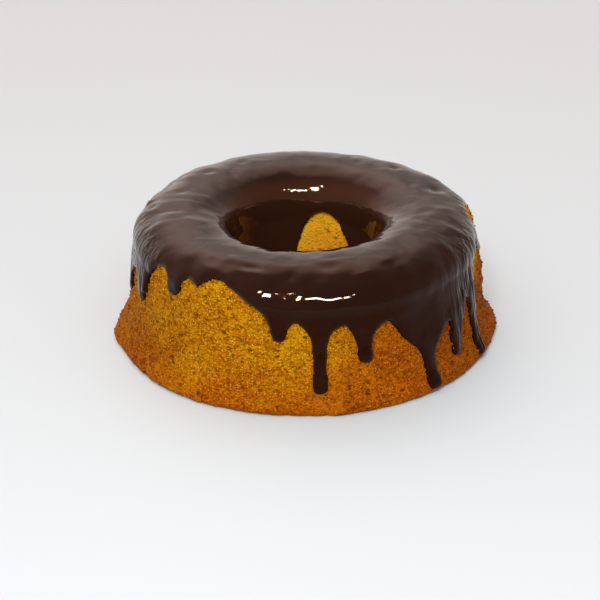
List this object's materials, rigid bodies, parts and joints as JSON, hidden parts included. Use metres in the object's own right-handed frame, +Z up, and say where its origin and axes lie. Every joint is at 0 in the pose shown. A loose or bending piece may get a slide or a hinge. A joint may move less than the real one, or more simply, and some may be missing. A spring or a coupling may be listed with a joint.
{
  "type": "carrot cake",
  "caption": "Ring-shaped carrot cake, golden sponge with a hole in the middle, under a glossy poured chocolate coat that runs down the sides in drips.",
  "frame": {"origin": "centre of the ring on the surface that the cake stands on", "axes": "+Z up through the hole, -Y towards the side that the picture shows, +X to its right"},
  "size_m": [0.243, 0.2371, 0.0824],
  "materials": {
    "sponge": "matte, open golden crumb",
    "chocolate": "glossy set chocolate"
  },
  "bodies": {
    "root": {"cake": "sponge", "icing": "chocolate"}
  },
  "joints": []
}
